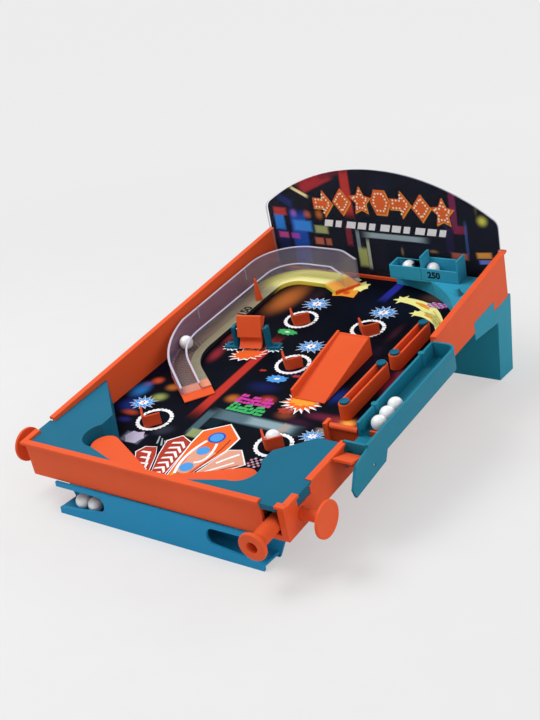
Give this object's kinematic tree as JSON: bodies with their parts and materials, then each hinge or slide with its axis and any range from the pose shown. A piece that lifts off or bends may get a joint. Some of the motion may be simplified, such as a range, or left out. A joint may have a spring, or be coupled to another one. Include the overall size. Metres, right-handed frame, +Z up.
{
  "type": "tabletop pinball game",
  "caption": "Tilted tray pinball game with button flippers, pull-back firing rod, ball trough, side ramp, spinner, pockets, cups and arched backboard.",
  "frame": {"origin": "middle of the footprint's bounding box, on the table", "axes": "+X to the player's right, +Y from the player to the backboard, +Z up; the tray is tilted 7 degrees about X"},
  "size_m": [0.277, 0.3808, 0.1806],
  "materials": {
    "orange_plastic": "moulded satin-gloss orange",
    "teal_plastic": "moulded satin-gloss dark teal",
    "trough_plastic": "moulded satin-gloss teal",
    "foot_plastic": "moulded satin-gloss blue-teal",
    "stand_plastic": "moulded satin-gloss teal",
    "cup_plastic": "moulded satin-gloss teal",
    "white_ball": "smooth white",
    "spring_steel": "drawn wire",
    "pin_steel": "ground pin",
    "clear_plastic": "clear, polished",
    "printed_board": null,
    "printed_card": "laminated print, dark with soft lights",
    "printed_strip": "laminated brown print with pale chevrons"
  },
  "bodies": {
    "game": {"tray_frame": "orange_plastic", "rod_guide": "orange_plastic", "lane_gate_bracket": "orange_plastic", "lane_divider_front": "orange_plastic", "lane_divider_rear": "orange_plastic", "long_ramp": "orange_plastic", "score_pocket_1": "orange_plastic", "score_pocket_2": "orange_plastic", "score_pocket_3": "orange_plastic", "score_pocket_4": "orange_plastic", "score_pocket_5": "orange_plastic", "ramp_base": "orange_plastic", "ramp_post": "orange_plastic", "left_apron": "teal_plastic", "right_apron": "teal_plastic", "divider_peg_1": "teal_plastic", "divider_peg_2": "teal_plastic", "divider_peg_3": "teal_plastic", "divider_peg_4": "teal_plastic", "spinner_bracket_right": "teal_plastic", "spinner_bracket_left": "teal_plastic", "rear_corner_guide": "teal_plastic", "side_trough": "trough_plastic", "front_foot": "foot_plastic", "rear_stand": "stand_plastic", "score_cup_left": "cup_plastic", "score_cup_right": "cup_plastic", "playfield_board": "printed_board", "backboard_card": "printed_card", "ramp_strip": "printed_strip", "backboard": "clear_plastic", "clear_ramp": "clear_plastic", "left_flipper_pin": "pin_steel", "right_flipper_pin": "pin_steel", "lane_gate_pin": "pin_steel", "feed_lever_pin": "pin_steel", "left_button_spring": "spring_steel", "right_button_spring": "spring_steel", "firing_spring": "spring_steel", "ramp_ball": "white_ball", "pocket_ball": "white_ball", "cup_ball_left": "white_ball", "cup_ball_right": "white_ball", "foot_ball_outer": "white_ball", "foot_ball_inner": "white_ball"},
    "firing_rod": {"firing_knob": "orange_plastic", "firing_rod": "orange_plastic"},
    "left_button": {"left_button": "orange_plastic", "left_button_slide": "orange_plastic"},
    "right_button": {"right_button": "orange_plastic", "right_button_slide": "orange_plastic"},
    "left_flipper": {"left_flipper": "orange_plastic"},
    "right_flipper": {"right_flipper": "orange_plastic"},
    "spinner": {"spinner_flap": "orange_plastic", "spinner_axle": "pin_steel"},
    "lane_gate": {"lane_gate": "orange_plastic"},
    "feed_lever": {"feed_lever": "orange_plastic"},
    "trough_balls": {"trough_ball_1": "white_ball", "trough_ball_2": "white_ball", "trough_ball_3": "white_ball"}
  },
  "joints": [
    {"name": "firing_rod_pull", "type": "slide", "parent": "game", "child": "firing_rod", "axis": [0, -0.9925, -0.1219], "range_m": [0, 0.014], "stiffness_N_per_m": 150, "springref_m": -0.004, "deforming": ["firing_spring"]},
    {"name": "left_button_press", "type": "slide", "parent": "game", "child": "left_button", "axis": [1, 0, 0], "range_m": [0, 0.0051], "stiffness_N_per_m": 150, "springref_m": -0.002, "deforming": ["left_button_spring"]},
    {"name": "left_flipper_swing", "type": "hinge", "parent": "game", "child": "left_flipper", "pos_m": [-0.0635, -0.13589, 0.03726], "axis": [0, -0.1219, 0.9925], "range_deg": [0, 40]},
    {"name": "right_button_press", "type": "slide", "parent": "game", "child": "right_button", "axis": [-1, 0, 0], "range_m": [0, 0.0051], "stiffness_N_per_m": 150, "springref_m": -0.002, "deforming": ["right_button_spring"]},
    {"name": "right_flipper_swing", "type": "hinge", "parent": "game", "child": "right_flipper", "pos_m": [0.0635, -0.13589, 0.03726], "axis": [0, 0.1219, -0.9925], "range_deg": [0, 40]},
    {"name": "spinner_turn", "type": "hinge", "parent": "game", "child": "spinner", "pos_m": [-0.05, 0.03861, 0.07551], "axis": [0.9763, 0.2148, 0.0264], "continuous": true},
    {"name": "lane_gate_swing", "type": "hinge", "parent": "game", "child": "lane_gate", "pos_m": [0.1026, -0.0638, 0.06142], "axis": [1, 0, 0], "range_deg": [0, 70]},
    {"name": "feed_lever_lift", "type": "hinge", "parent": "game", "child": "feed_lever", "pos_m": [0.128, -0.08402, 0.04967], "axis": [-1, 0, 0], "range_deg": [0, 12]},
    {"name": "trough_balls_roll", "type": "slide", "parent": "game", "child": "trough_balls", "axis": [0, 0.9925, 0.1219], "range_m": [0, 0.07]}
  ],
  "couplings": [
    {"joint": "left_flipper_swing", "follows": "left_button_press", "rad_per_m": 136.08},
    {"joint": "right_flipper_swing", "follows": "right_button_press", "rad_per_m": 136.08}
  ]
}
